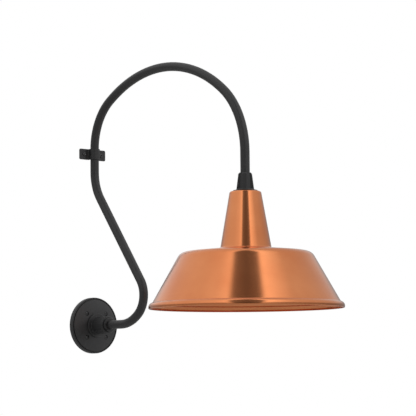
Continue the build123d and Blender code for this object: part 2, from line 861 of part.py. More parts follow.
with BuildPart() as lamp_stem:
    with BuildSketch(axis_section):
        with BuildLine():
            Polyline(
                (0, stem_top_z),
                (stem_foot_radius, stem_top_z),
                (stem_foot_radius, stem_top_z - stem_foot_height),
                (stem_flare_radius, cap_bottom_z - stem_flare_drop),
                (stem_radius, cap_bottom_z - glass_in_cap),
                (stem_radius, stem_bottom_z),
                (0, stem_bottom_z),
                close=True,
            )
        make_face()
    revolve(axis=shade_axis)
save(lamp_stem.part, "lamp_stem")

# two support wires and a coiled filament, drawn as one fine rod across them
filament_z = bulb_centre_z - coil_drop

with BuildPart() as lamp_filament:
    for side in (-1, 1):
        with BuildLine(axis_section) as support:
            Polyline(
                (side * wire_root, stem_bottom_z),
                (side * wire_root, stem_bottom_z - wire_drop),
                (side * wire_spread, filament_z),
            )
        with BuildSketch(level(stem_bottom_z)):
            with Locations((side * wire_root, 0)):
                Circle(wire_radius)
        sweep(path=support.line, transition=Transition.RIGHT)
    with BuildSketch(Plane.YZ.offset(arm_reach - wire_spread - coil_radius)):
        with Locations((0, filament_z)):
            Circle(coil_radius)
    extrude(amount=2 * (wire_spread + coil_radius))
save(lamp_filament.part, "lamp_filament")
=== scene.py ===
"""Gooseneck wall sconce: finishes, threads, wound wire and the spun shade, with the studio round it."""

import logging
from dataclasses import dataclass
from enum import Enum
from math import atan2, cos, pi, radians, sin

import bpy
from mathutils import Matrix, Vector


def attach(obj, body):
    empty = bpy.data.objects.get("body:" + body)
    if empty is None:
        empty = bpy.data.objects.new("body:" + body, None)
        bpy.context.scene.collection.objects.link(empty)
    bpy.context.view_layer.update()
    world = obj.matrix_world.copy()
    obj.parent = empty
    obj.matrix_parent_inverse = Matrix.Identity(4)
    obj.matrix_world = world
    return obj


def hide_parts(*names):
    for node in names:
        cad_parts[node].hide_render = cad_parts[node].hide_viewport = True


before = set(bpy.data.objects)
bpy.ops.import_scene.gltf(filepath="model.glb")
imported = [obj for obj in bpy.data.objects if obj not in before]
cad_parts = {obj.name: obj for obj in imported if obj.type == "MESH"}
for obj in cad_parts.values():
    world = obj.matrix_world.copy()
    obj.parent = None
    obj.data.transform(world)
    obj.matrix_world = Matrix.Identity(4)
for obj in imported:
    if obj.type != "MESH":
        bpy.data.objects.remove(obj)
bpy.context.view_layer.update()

FIXTURE = "fixture"
LAMP = "lamp"

MM = 0.001

# The axis of the shade, lampholder and lamp, and the pitch of the lamp's thread, in millimetres.
SHADE_AXIS_X = 604.5
LAMP_THREAD_PITCH = 3.63

# The rotation that lays a helix, which stands on Z, along X.
ALONG_X = (0.0, pi / 2, 0.0)

# Nearly all of a noise lies between these two.
NOISE_LOW, NOISE_HIGH = 0.3, 0.7

# Added to a whole number before its floor is taken, so that rounding can't lower it.
ROUNDING_GUARD = 0.25

# Points nearer than this become one where a turned shell closes, in millimetres.
SEAM_GAP = 0.002

# A corner stays sharp if its rounding would reach less than this along its sides.
SHARP_REACH = 1e-9

# A stretch is long if it is more than this many insets.
LONG_STRETCH = 4

# Points on each bend of a drawn wire, and corners of a wire's section that should look round.
BEND_POINTS = 4
ROUND_SIDES = 8

log = logging.getLogger("sconce")


# ---------------------------------------------------------------- node trees


class Graph:
    """A node tree that is being filled, with one call for each node."""

    def __init__(self, tree: bpy.types.NodeTree) -> None:
        """Keeps the tree and empties it.

        Args:
            tree: The shader or geometry tree to fill.
        """
        self.tree = tree
        tree.nodes.clear()

    def feed(self, socket: bpy.types.NodeSocket, value: object) -> None:
        """Fills an input.

        Args:
            socket: The input.
            value: A plain value, or an output socket to link from.
        """
        if isinstance(value, bpy.types.NodeSocket):
            self.tree.links.new(value, socket)
        else:
            socket.default_value = value

    def add(self, kind: str, inputs: dict | None = None, **settings: object) -> bpy.types.Node:
        """Adds one node.

        Args:
            kind: Blender's name for the node type.
            inputs: Input name or index to a plain value, or to an output socket to link from.
            **settings: Properties of the node itself.

        Returns:
            The new node.
        """
        node = self.tree.nodes.new(kind)
        for key, value in settings.items():
            setattr(node, key, value)
        for key, value in (inputs or {}).items():
            self.feed(node.inputs[key], value)
        return node

    def math(self, operation: str, first: object, second: object = 0.0) -> bpy.types.NodeSocket:
        """Adds a Math node of a shader or geometry tree.

        Args:
            operation: Blender's name for the operation.
            first: Value or socket.
            second: Value or socket.

        Returns:
            The result's socket.
        """
        return self.add("ShaderNodeMath", {0: first, 1: second}, operation=operation).outputs[0]

    def spread(self, value: bpy.types.NodeSocket, low: float, high: float) -> bpy.types.NodeSocket:
        """Maps the middle of a noise's range onto low to high.

        Args:
            value: A noise between 0 and 1.
            low: Result where the noise is NOISE_LOW.
            high: Result where the noise is NOISE_HIGH.

        Returns:
            The mapped socket.
        """
        limits = {"From Min": NOISE_LOW, "From Max": NOISE_HIGH, "To Min": low, "To Max": high}
        return self.add("ShaderNodeMapRange", {"Value": value, **limits}).outputs["Result"]

    def blend(self, factor: object, first: object, second: object) -> bpy.types.NodeSocket:
        """Mixes two colours.

        Args:
            factor: Value or socket from 0, the first, to 1, the second.
            first: Colour or socket.
            second: Colour or socket.

        Returns:
            The mixed colour's socket.
        """
        return self.add("ShaderNodeMix", {0: factor, 6: first, 7: second}, data_type="RGBA").outputs[2]

    def noise(
        self, place: bpy.types.NodeSocket, scale: float, detail: float, roughness: float = 0.5
    ) -> bpy.types.NodeSocket:
        """Adds a noise.

        Args:
            place: The coordinates that it reads.
            scale: Its lumps for each unit of them.
            detail: How many times finer lumps are laid over it.
            roughness: How strong the finer lumps are.

        Returns:
            The noise's value, about 0.5 on average.
        """
        inputs = {"Vector": place, "Scale": scale, "Detail": detail, "Roughness": roughness}
        return self.add("ShaderNodeTexNoise", inputs).outputs[0]

    def close_material(self, height: bpy.types.NodeSocket, depth: float, inputs: dict) -> None:
        """Ends a material in a surface with fine relief.

        Args:
            height: The relief's pattern.
            depth: Its height in millimetres where the pattern is 1.
            inputs: The surface's inputs.
        """
        relief = {"Height": height, "Distance": depth * MM, "Strength": 1.0}
        bump = self.add("ShaderNodeBump", relief).outputs[0]
        surface = self.add("ShaderNodeBsdfPrincipled", {**inputs, "Normal": bump}).outputs[0]
        self.add("ShaderNodeOutputMaterial", {"Surface": surface})


def rgba(color: tuple[float, float, float]) -> tuple[float, float, float, float]:
    """Returns a colour with full alpha."""
    return (*color, 1.0)


def shader_graph(name: str) -> tuple[bpy.types.Material, Graph]:
    """Makes an empty node material.

    Args:
        name: The material's name.

    Returns:
        The material and its graph.
    """
    material = bpy.data.materials.new(name)
    material.use_nodes = True
    return material, Graph(material.node_tree)


# ---------------------------------------------------------------- finishes


@dataclass(frozen=True)
class Finish:
    """A solid surface whose colour, gloss and grain vary a little over it.

    Args:
        name: The material's name.
        color: Linear colour.
        tint: Linear colour of the paler or duller patches.
        roughness: Lowest and highest roughness.
        metallic: 1 for bare metal.
        grain: Size of the fine grain in millimetres.
        depth: Height of the grain in millimetres.
        patch: Size of the colour patches in millimetres.
        coat: Weight of a clear layer.
        coat_roughness: Roughness of that layer.
        grain_detail: Finer layers in the grain.
        patch_detail: Finer layers in the patches.
    """

    name: str
    color: tuple[float, float, float]
    tint: tuple[float, float, float]
    roughness: tuple[float, float]
    metallic: float = 0.0
    grain: float = 0.8
    depth: float = 0.02
    patch: float = 30.0
    coat: float = 0.0
    coat_roughness: float = 0.1
    grain_detail: float = 3.0
    patch_detail: float = 5.0

    def material(self) -> bpy.types.Material:
        """Builds the material.

        Returns:
            The finished material.
        """
        material, graph = shader_graph(self.name)
        place = graph.add("ShaderNodeTexCoord").outputs["Object"]
        fine = graph.noise(place, 1 / (self.grain * MM), self.grain_detail)
        broad = graph.spread(graph.noise(place, 1 / (self.patch * MM), self.patch_detail), 0.0, 1.0)
        inputs = {
            "Base Color": graph.blend(broad, rgba(self.color), rgba(self.tint)),
            "Roughness": graph.spread(fine, *self.roughness),
            "Metallic": self.metallic,
            "Coat Weight": self.coat,
            "Coat Roughness": self.coat_roughness,
        }
        graph.close_material(fine, self.depth, inputs)
        return material


@dataclass(frozen=True)
class SpunCopper:
    """Copper sheet spun on a lathe and brushed round its axis.

    Args:
        name: The material's name.
        color: Linear colour.
        tint: Linear colour of the darker patches.
        roughness: Lowest and highest roughness.
        line: Width of the brushing's lines in millimetres.
        line_detail: Finer layers in the lines.
        line_contrast: How strong the finer layers are.
        sweep: How often the lines change along one turn.
        depth: Height of the lines in millimetres.
        patch: Size of the colour patches in millimetres.
        patch_detail: Finer layers in the patches.
        anisotropy: How far the brushing draws reflections out across its lines.
        quarter_turn: Share of a turn from the UV map's tangent to the brushing.
        coat: Weight of the clear lacquer.
        coat_roughness: Roughness of the lacquer.
    """

    name: str = "spun_copper"
    color: tuple[float, float, float] = (0.81, 0.285, 0.105)
    tint: tuple[float, float, float] = (0.72, 0.22, 0.072)
    roughness: tuple[float, float] = (0.15, 0.21)
    line: float = 0.9
    line_detail: float = 6.0
    line_contrast: float = 0.65
    sweep: float = 0.8
    depth: float = 0.003
    patch: float = 1000 / 9
    patch_detail: float = 4.0
    anisotropy: float = 0.65
    quarter_turn: float = 0.25
    coat: float = 0.5
    coat_roughness: float = 0.2

    def material(self) -> bpy.types.Material:
        """Builds the material.

        Returns:
            The finished material, which reads the UV map: U round the shade, V along its profile.
        """
        material, graph = shader_graph(self.name)
        chart = graph.add("ShaderNodeUVMap", uv_map="UVMap").outputs[0]
        parts = graph.add("ShaderNodeSeparateXYZ", {0: chart})
        angle = graph.math("MULTIPLY", parts.outputs["X"], 2 * pi)
        lines = graph.add(
            "ShaderNodeCombineXYZ",
            {
                "X": graph.math("MULTIPLY", graph.math("COSINE", angle), self.sweep),
                "Y": graph.math("MULTIPLY", graph.math("SINE", angle), self.sweep),
                "Z": graph.math("DIVIDE", parts.outputs["Y"], self.line * MM),
            },
        ).outputs[0]
        brushed = graph.noise(lines, 1.0, self.line_detail, self.line_contrast)
        tangent = graph.add("ShaderNodeTangent", direction_type="UV_MAP", uv_map="UVMap")
        place = graph.add("ShaderNodeTexCoord").outputs["Object"]
        broad = graph.spread(graph.noise(place, 1 / (self.patch * MM), self.patch_detail), 0.0, 1.0)
        inputs = {
            "Base Color": graph.blend(broad, rgba(self.color), rgba(self.tint)),
            "Roughness": graph.spread(brushed, *self.roughness),
            "Metallic": 1.0,
            "Anisotropic": self.anisotropy,
            "Anisotropic Rotation": self.quarter_turn,
            "Tangent": tangent.outputs[0],
            "Coat Weight": self.coat,
            "Coat Roughness": self.coat_roughness,
        }
        graph.close_material(brushed, self.depth, inputs)
        return material


@dataclass(frozen=True)
class ClearGlass:
    """Blown clear glass with faint ripples.

    Args:
        name: The material's name.
        color: Linear colour of the light that it lets through.
        roughness: Lowest and highest roughness.
        ior: Index of refraction.
        ripple: Size of the ripples in millimetres.
        ripple_detail: Finer layers in the ripples.
        depth: Height of the ripples in millimetres.
    """

    name: str = "lamp_glass"
    color: tuple[float, float, float] = (0.97, 0.985, 0.98)
    roughness: tuple[float, float] = (0.01, 0.03)
    ior: float = 1.5
    ripple: float = 14.0
    ripple_detail: float = 1.0
    depth: float = 0.05

    def material(self) -> bpy.types.Material:
        """Builds the material.

        Returns:
            The finished material.
        """
        material, graph = shader_graph(self.name)
        place = graph.add("ShaderNodeTexCoord").outputs["Object"]
        wave = graph.noise(place, 1 / (self.ripple * MM), self.ripple_detail)
        inputs = {
            "Base Color": rgba(self.color),
            "Roughness": graph.spread(wave, *self.roughness),
            "IOR": self.ior,
            "Transmission Weight": 1.0,
        }
        graph.close_material(wave, self.depth, inputs)
        return material


class Palette(Enum):
    """Every finish on the sconce, named for the record's material slots.

    BARE_COPPER, on the leads' strands, is the only one that the record has no slot for.
    """

    BLACK_COAT = Finish(
        "black_coat", (0.019, 0.019, 0.0195), (0.024, 0.024, 0.025), (0.40, 0.52),
        grain=0.35, depth=0.012, patch=70.0,
    )
    BLACK_SCREW = Finish(
        "black_screw", (0.016, 0.016, 0.017), (0.024, 0.024, 0.025), (0.18, 0.28),
        grain=0.4, depth=0.008, patch=3.0, coat=1.0,
    )
    GREEN_SCREW = Finish(
        "green_screw", (0.015, 0.16, 0.045), (0.02, 0.2, 0.06), (0.3, 0.45),
        grain=0.3, depth=0.01, patch=4.0,
    )
    GASKET_RUBBER = Finish(
        "gasket_rubber", (0.014, 0.014, 0.014), (0.03, 0.03, 0.03), (0.75, 0.95),
        grain=0.5, depth=0.12, patch=6.0,
    )
    LEAD_BLACK = Finish(
        "lead_black", (0.01, 0.01, 0.01), (0.016, 0.016, 0.016), (0.35, 0.5), patch=8.0
    )
    LEAD_WHITE = Finish(
        "lead_white", (0.72, 0.71, 0.66), (0.62, 0.6, 0.54), (0.35, 0.5), patch=8.0
    )
    ZINC_STEEL = Finish(
        "zinc_steel", (0.55, 0.56, 0.57), (0.42, 0.43, 0.42), (0.24, 0.4),
        metallic=1.0, grain=0.25, depth=0.01, patch=5.0,
    )
    PORCELAIN = Finish(
        "porcelain", (0.8, 0.78, 0.72), (0.74, 0.71, 0.64), (0.12, 0.2),
        grain=2.5, depth=0.03, patch=12.0, coat=0.6,
    )
    BRASS_PARTS = Finish(
        "brass_parts", (0.78, 0.55, 0.22), (0.62, 0.42, 0.16), (0.2, 0.36),
        metallic=1.0, grain=0.3, depth=0.008, patch=5.0,
    )
    LAMP_METAL = Finish(
        "lamp_metal", (0.78, 0.78, 0.79), (0.66, 0.66, 0.67), (0.2, 0.34),
        metallic=1.0, grain=0.3, depth=0.008, patch=6.0,
    )
    BLACK_GLASS = Finish(
        "black_glass", (0.008, 0.008, 0.012), (0.014, 0.013, 0.02), (0.05, 0.12), patch=3.0
    )
    SOLDER = Finish(
        "solder", (0.42, 0.42, 0.43), (0.3, 0.3, 0.3), (0.35, 0.55),
        metallic=1.0, grain=0.4, depth=0.05, patch=1.5,
    )
    TUNGSTEN = Finish(
        "tungsten", (0.2, 0.2, 0.2), (0.28, 0.27, 0.26), (0.35, 0.5),
        metallic=1.0, grain=0.1, depth=0.004, patch=2.0,
    )
    BARE_COPPER = Finish(
        "bare_copper", (0.83, 0.4, 0.24), (0.7, 0.3, 0.16), (0.25, 0.4),
        metallic=1.0, grain=0.2, depth=0.004, patch=2.0,
    )
    COPPER_SHEET = SpunCopper()
    CLEAR_GLASS = ClearGlass()

    @property
    def slot(self) -> str:
        """The record's slot of this finish."""
        return self.name.lower()


class Workshop:
    """Makes each material once and puts it on objects."""

    def __init__(self) -> None:
        """Starts with no materials made."""
        self.made: dict[Palette, bpy.types.Material] = {}

    def material(self, finish: Palette) -> bpy.types.Material:
        """Returns a finish's material, made when it is first asked for."""
        if finish not in self.made:
            self.made[finish] = finish.value.material()
        return self.made[finish]

    def dress(self, finish: Palette, *nodes: str) -> None:
        """Puts a finish on CAD nodes.

        Args:
            finish: The finish.
            *nodes: Names of the nodes.
        """
        for node in nodes:
            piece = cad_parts[node]
            piece.data.materials.clear()
            piece.data.materials.append(self.material(finish))
            log.info("%s is dressed in %s", node, finish.slot)

    def place(
        self, piece: bpy.types.Object, body: str, finish: Palette, *stands_for: str
    ) -> None:
        """Lets a new piece ride on its body, hides the CAD nodes that it stands for, and logs it.

        Args:
            piece: The finished object.
            body: The body that carries it.
            finish: Its finish; not used.
            *stands_for: CAD nodes that it replaces.
        """
        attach(piece, body)
        if stands_for:
            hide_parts(*stands_for)
        log.info("%s has %d faces and rides on %s", piece.name, len(piece.data.polygons), body)


# ---------------------------------------------------------------- geometry trees


def geometry_graph(
    name: str, inputs: dict[str, str]
) -> tuple[bpy.types.NodeTree, Graph, bpy.types.Node]:
    """Starts a Geometry Nodes tree.

    Args:
        name: The tree's name.
        inputs: Name of each input to its socket type, after the geometry.

    Returns:
        The tree, its graph and its input node.
    """
    tree = bpy.data.node_groups.new(name, "GeometryNodeTree")
    tree.interface.new_socket("Geometry", in_out="INPUT", socket_type="NodeSocketGeometry")
    for label, kind in inputs.items():
        tree.interface.new_socket(label, in_out="INPUT", socket_type=kind)
    tree.interface.new_socket("Geometry", in_out="OUTPUT", socket_type="NodeSocketGeometry")
    graph = Graph(tree)
    return tree, graph, graph.add("NodeGroupInput")


def close_graph(graph: Graph, shape: bpy.types.NodeSocket, start: bpy.types.Node) -> None:
    """Ends a tree in Realize Instances and Set Material.

    Args:
        graph: The tree's graph.
        shape: The geometry so far.
        start: The tree's input node, which has the material.
    """
    whole = graph.add("GeometryNodeRealizeInstances", {"Geometry": shape}).outputs[0]
    dressed = graph.add(
        "GeometryNodeSetMaterial", {"Geometry": whole, "Material": start.outputs["Material"]}
    ).outputs[0]
    graph.add("NodeGroupOutput", {0: dressed})


def helix_tree() -> bpy.types.NodeTree:
    """A round wire wound in a helix at each vertex of the start mesh, along local Z.

    Each next helix starts a phase further round, so that several at one place lie side by side.

    Returns:
        The tree, with inputs Radius, Wire, Length, Turns, Steps, Sides, Phase, Turned and Material.
    """
    number, whole = "NodeSocketFloat", "NodeSocketInt"
    tree, graph, start = geometry_graph(
        "wound_wire",
        {
            "Radius": number, "Wire": number, "Length": number, "Turns": number,
            "Steps": whole, "Sides": whole, "Phase": number, "Turned": "NodeSocketRotation",
            "Material": "NodeSocketMaterial",
        },
    )
    spiral = graph.add(
        "GeometryNodeCurveSpiral",
        {
            "Resolution": start.outputs["Steps"],
            "Rotations": start.outputs["Turns"],
            "Start Radius": start.outputs["Radius"],
            "End Radius": start.outputs["Radius"],
            "Height": start.outputs["Length"],
        },
    ).outputs[0]
    section = graph.add(
        "GeometryNodeCurvePrimitiveCircle",
        {"Resolution": start.outputs["Sides"], "Radius": start.outputs["Wire"]},
        mode="RADIUS",
    ).outputs[0]
    wire = graph.add(
        "GeometryNodeCurveToMesh", {"Curve": spiral, "Profile Curve": section, "Fill Caps": True}
    ).outputs[0]
    index = graph.add("GeometryNodeInputIndex").outputs[0]
    ahead = graph.math("MULTIPLY", index, start.outputs["Phase"])
    spun = graph.add("FunctionNodeAxisAngleToRotation", {"Axis": (0, 0, 1), "Angle": ahead}).outputs[0]
    turned = graph.add(
        "FunctionNodeRotateRotation", {0: spun, 1: start.outputs["Turned"]}, rotation_space="GLOBAL"
    ).outputs[0]
    wound = graph.add(
        "GeometryNodeInstanceOnPoints",
        {"Points": start.outputs["Geometry"], "Instance": wire, "Rotation": turned},
    ).outputs[0]
    smooth = graph.add("GeometryNodeSetShadeSmooth", {"Geometry": wound}).outputs[0]
    close_graph(graph, smooth, start)
    return tree


def wire_tree() -> bpy.types.NodeTree:
    """A round wire along each run of edges of the start mesh.

    Returns:
        The tree, with inputs Wire, Bend, Sides and Material.
    """
    number, whole = "NodeSocketFloat", "NodeSocketInt"
    tree, graph, start = geometry_graph(
        "drawn_wire",
        {"Wire": number, "Bend": number, "Sides": whole, "Material": "NodeSocketMaterial"},
    )
    run = graph.add("GeometryNodeMeshToCurve", {"Mesh": start.outputs["Geometry"]}).outputs[0]
    bent = graph.add(
        "GeometryNodeFilletCurve",
        {"Curve": run, "Count": BEND_POINTS, "Radius": start.outputs["Bend"], "Limit Radius": True},
        mode="POLY",
    ).outputs[0]
    section = graph.add(
        "GeometryNodeCurvePrimitiveCircle",
        {"Resolution": start.outputs["Sides"], "Radius": start.outputs["Wire"]},
        mode="RADIUS",
    ).outputs[0]
    wire = graph.add(
        "GeometryNodeCurveToMesh", {"Curve": bent, "Profile Curve": section, "Fill Caps": True}
    ).outputs[0]
    smooth = graph.add("GeometryNodeSetShadeSmooth", {"Geometry": wire}).outputs[0]
    close_graph(graph, smooth, start)
    return tree


def lathe_tree() -> bpy.types.NodeTree:
    """Turns the start mesh's vertices, points of a profile in X and Z, round the Z axis.

    Each vertex's Y holds the profile's length up to it. The profile is closed, its last point joins
    the first, and the turned shell has a UV map: U round the axis, V along the profile in metres.

    Returns:
        The tree, with inputs Points, Segments, Centre and Material.
    """
    tree, graph, start = geometry_graph(
        "turned_shell",
        {
            "Points": "NodeSocketInt", "Segments": "NodeSocketInt",
            "Centre": "NodeSocketVector", "Material": "NodeSocketMaterial",
        },
    )
    along = graph.math("ADD", start.outputs["Points"], 1.0)
    grid = graph.add(
        "GeometryNodeMeshGrid",
        {
            "Size X": 1.0, "Size Y": 1.0, "Vertices Y": along,
            "Vertices X": graph.math("ADD", start.outputs["Segments"], 1.0),
        },
    )
    index = graph.add("GeometryNodeInputIndex").outputs[0]
    guarded = graph.math("ADD", index, ROUNDING_GUARD)
    column = graph.math("FLOOR", graph.math("DIVIDE", guarded, along))
    step = graph.math("SUBTRACT", index, graph.math("MULTIPLY", column, along))
    guarded = graph.math("ADD", step, ROUNDING_GUARD)
    point = graph.math("FLOORED_MODULO", guarded, start.outputs["Points"])
    place = graph.add("GeometryNodeInputPosition").outputs[0]
    sampled = graph.add(
        "GeometryNodeSampleIndex",
        {
            "Geometry": start.outputs["Geometry"], "Value": place,
            "Index": graph.math("FLOOR", point),
        },
        data_type="FLOAT_VECTOR", domain="POINT",
    ).outputs[0]
    parts = graph.add("ShaderNodeSeparateXYZ", {0: sampled})
    angle = graph.math("DIVIDE", graph.math("MULTIPLY", column, 2 * pi), start.outputs["Segments"])
    turned = graph.add(
        "ShaderNodeCombineXYZ",
        {
            "X": graph.math("MULTIPLY", parts.outputs["X"], graph.math("COSINE", angle)),
            "Y": graph.math("MULTIPLY", parts.outputs["X"], graph.math("SINE", angle)),
            "Z": parts.outputs["Z"],
        },
    ).outputs[0]
    centred = graph.add(
        "ShaderNodeVectorMath", {0: turned, 1: start.outputs["Centre"]}, operation="ADD"
    ).outputs[0]
    chart = graph.add(
        "ShaderNodeCombineXYZ",
        {"X": graph.math("DIVIDE", column, start.outputs["Segments"]), "Y": parts.outputs["Y"]},
    ).outputs[0]
    at_points = graph.add(
        "GeometryNodeFieldOnDomain", {"Value": chart}, data_type="FLOAT_VECTOR", domain="POINT"
    ).outputs[0]
    mapped = graph.add(
        "GeometryNodeStoreNamedAttribute",
        {"Geometry": grid.outputs["Mesh"], "Name": "UVMap", "Value": at_points},
        data_type="FLOAT2", domain="CORNER",
    ).outputs[0]
    shell = graph.add("GeometryNodeSetPosition", {"Geometry": mapped, "Position": centred}).outputs[0]
    joined = graph.add(
        "GeometryNodeMergeByDistance", {"Geometry": shell, "Distance": SEAM_GAP * MM}
    ).outputs[0]
    smooth = graph.add("GeometryNodeSetShadeSmooth", {"Geometry": joined}).outputs[0]
    close_graph(graph, smooth, start)
    return tree


def bake(
    name: str,
    tree: bpy.types.NodeTree,
    places: list[Vector],
    values: dict[str, object],
    edges: list[tuple[int, int]] | None = None,
) -> bpy.types.Object:
    """Runs a tree on a mesh of loose vertices, or of runs of edges, and keeps the plain mesh.

    Args:
        name: The new object's name.
        tree: The Geometry Nodes tree.
        places: The start mesh's vertices.
        values: Input name to value.
        edges: The start mesh's edges, if it has any.

    Returns:
        An object with no modifier, at the origin.
    """
    base = bpy.data.meshes.new(name)
    base.from_pydata([tuple(p) for p in places], edges or [], [])
    piece = bpy.data.objects.new(name, base)
    bpy.context.scene.collection.objects.link(piece)
    shaper = piece.modifiers.new("shape", "NODES")
    shaper.node_group = tree
    for item in tree.interface.items_tree:
        if item.in_out == "INPUT" and item.name in values:
            shaper[item.identifier] = values[item.name]
    graph = bpy.context.evaluated_depsgraph_get()
    made = bpy.data.meshes.new_from_object(piece.evaluated_get(graph), depsgraph=graph)
    piece.modifiers.clear()
    piece.data = made
    made.name = name
    return piece


# ---------------------------------------------------------------- outlines


def circle_centre(a: Vector, b: Vector, c: Vector) -> Vector:
    """Centre of the circle through three points.

    Args:
        a: First point.
        b: Second point.
        c: Third point.

    Returns:
        The centre.
    """
    ab, ac = b - a, c - a
    double = 2 * (ab.x * ac.y - ab.y * ac.x)
    across = ac.y * ab.length_squared - ab.y * ac.length_squared
    up = ab.x * ac.length_squared - ac.x * ab.length_squared
    return a + Vector((across, up)) / double


def arc(centre: Vector, start: Vector, end: Vector, steps: int) -> list[tuple[float, float]]:
    """The shorter arc from one point of a circle to another.

    Args:
        centre: The circle's centre.
        start: First point.
        end: Last point.
        steps: Points on the arc, less one.

    Returns:
        The arc's points, both ends included.
    """
    first, last = start - centre, end - centre
    swing = atan2(first.x * last.y - first.y * last.x, first.dot(last))
    turns = [Matrix.Rotation(swing * step / steps, 2) for step in range(steps + 1)]
    return [tuple(centre + turn @ first) for turn in turns]


def rounded(
    corners: list[tuple[float, float]], radii: list[float], steps: int
) -> list[tuple[float, float]]:
    """An outline whose inner corners are rounded.

    Args:
        corners: The corners, ends included.
        radii: One radius for each corner between the ends, 0 for a sharp one.
        steps: Points on each arc, less one.

    Returns:
        The outline's points.
    """
    points = [corners[0]]
    for before, at, after, radius in zip(corners, corners[1:], corners[2:], radii):
        here = Vector(at)
        back = (Vector(before) - here).normalized()
        onward = (Vector(after) - here).normalized()
        half = back.angle(onward) / 2
        reach = radius / (sin(half) / cos(half))
        if reach < SHARP_REACH:
            points.append(at)
            continue
        centre = here + (back + onward).normalized() * (radius / sin(half))
        points += arc(centre, here + back * reach, here + onward * reach, steps)
    points.append(corners[-1])
    return points


def supported(outline: list[tuple[float, float]], inset: float) -> list[tuple[float, float]]:
    """Adds a point near both ends of each long straight stretch, so that its shading stays even.

    Args:
        outline: The points, in order.
        inset: The new points' distance from the stretch's ends.

    Returns:
        All points, in order.
    """
    points = [outline[0]]
    for first, last in zip(outline, outline[1:]):
        stretch = Vector(last) - Vector(first)
        if stretch.length > LONG_STRETCH * inset:
            reach = stretch.normalized() * inset
            points += [tuple(Vector(first) + reach), tuple(Vector(last) - reach)]
        points.append(last)
    return points


def wall(outline: list[tuple[float, float]], thickness: float) -> list[tuple[float, float]]:
    """The outline shifted square to itself.

    Args:
        outline: The outer face's points, in order.
        thickness: How far to the right of its direction.

    Returns:
        The inner face's points, in the same order.
    """
    inner = []
    for index, point in enumerate(outline):
        before = Vector(outline[max(index - 1, 0)])
        after = Vector(outline[min(index + 1, len(outline) - 1)])
        along = (after - before).normalized()
        inner.append((point[0] + along.y * thickness, point[1] - along.x * thickness))
    return inner


# ---------------------------------------------------------------- sub-assemblies


def winding(
    shop: Workshop,
    finish: Palette,
    radius: float,
    wire: float,
    length: float,
    pitch: float,
    turned: tuple[float, float, float] = (0.0, 0.0, 0.0),
    phase: float = 0.0,
    sides: int = 6,
    steps: int = 24,
) -> dict[str, object]:
    """Inputs of the winding tree, sizes in millimetres.

    Args:
        shop: Where materials come from.
        finish: The wire's finish.
        radius: The helix's radius.
        wire: The wire's radius.
        length: The helix's length.
        pitch: From one turn to the next.
        turned: Rotation of the helix's axis from Z.
        phase: Angle from one helix to the next.
        sides: Corners of the wire's section.
        steps: Stretches of wire in one turn.

    Returns:
        Input name to value.
    """
    return {
        "Radius": radius * MM, "Wire": wire * MM, "Length": length * MM, "Turns": length / pitch,
        "Steps": steps, "Sides": sides, "Phase": phase, "Turned": turned,
        "Material": shop.material(finish),
    }


@dataclass(frozen=True)
class WallScrewThread:
    """The thread of a number 10 screw, pointing out of the wall. Sizes in millimetres."""

    length: float
    tip: float = 0.6
    radius: float = 2.12
    ridge: float = 0.28
    pitch: float = 1.06
    sides: int = 4

    def start(self, y: float, z: float) -> Vector:
        """Returns the thread's inner end for a screw at a place on the wall, in metres."""
        return Vector((-self.length - self.tip, y, z)) * MM

    def values(self, shop: Workshop) -> dict[str, object]:
        """Inputs of the winding tree.

        Args:
            shop: Where materials come from.

        Returns:
            Input name to value.
        """
        return winding(
            shop, Palette.BLACK_SCREW, self.radius, self.ridge, self.length, self.pitch,
            turned=ALONG_X, sides=self.sides,
        )


@dataclass
class WallMount:
    """Wall plate, its gasket, four screws and the earthing screw. Sizes in millimetres."""

    screw_circle: float = 42.85
    thread: WallScrewThread = WallScrewThread(18.5)

    def dress(self, shop: Workshop) -> None:
        """Puts the finishes on the CAD pieces."""
        shop.dress(Palette.BLACK_COAT, "wall_plate")
        shop.dress(Palette.BLACK_SCREW, "plate_screws")
        shop.dress(Palette.GREEN_SCREW, "ground_screw")
        shop.dress(Palette.GASKET_RUBBER, "wall_gasket")

    def build(self, shop: Workshop, helix: bpy.types.NodeTree) -> None:
        """Winds the threads on the four screws behind the wall.

        Args:
            shop: Where materials come from.
            helix: The winding tree.
        """
        angles = [radians(degrees) for degrees in (45, 135, 225, 315)]
        places = [
            self.thread.start(self.screw_circle * cos(angle), self.screw_circle * sin(angle))
            for angle in angles
        ]
        threads = bake("plate_screw_threads", helix, places, self.thread.values(shop))
        shop.place(threads, FIXTURE, Palette.BLACK_SCREW)


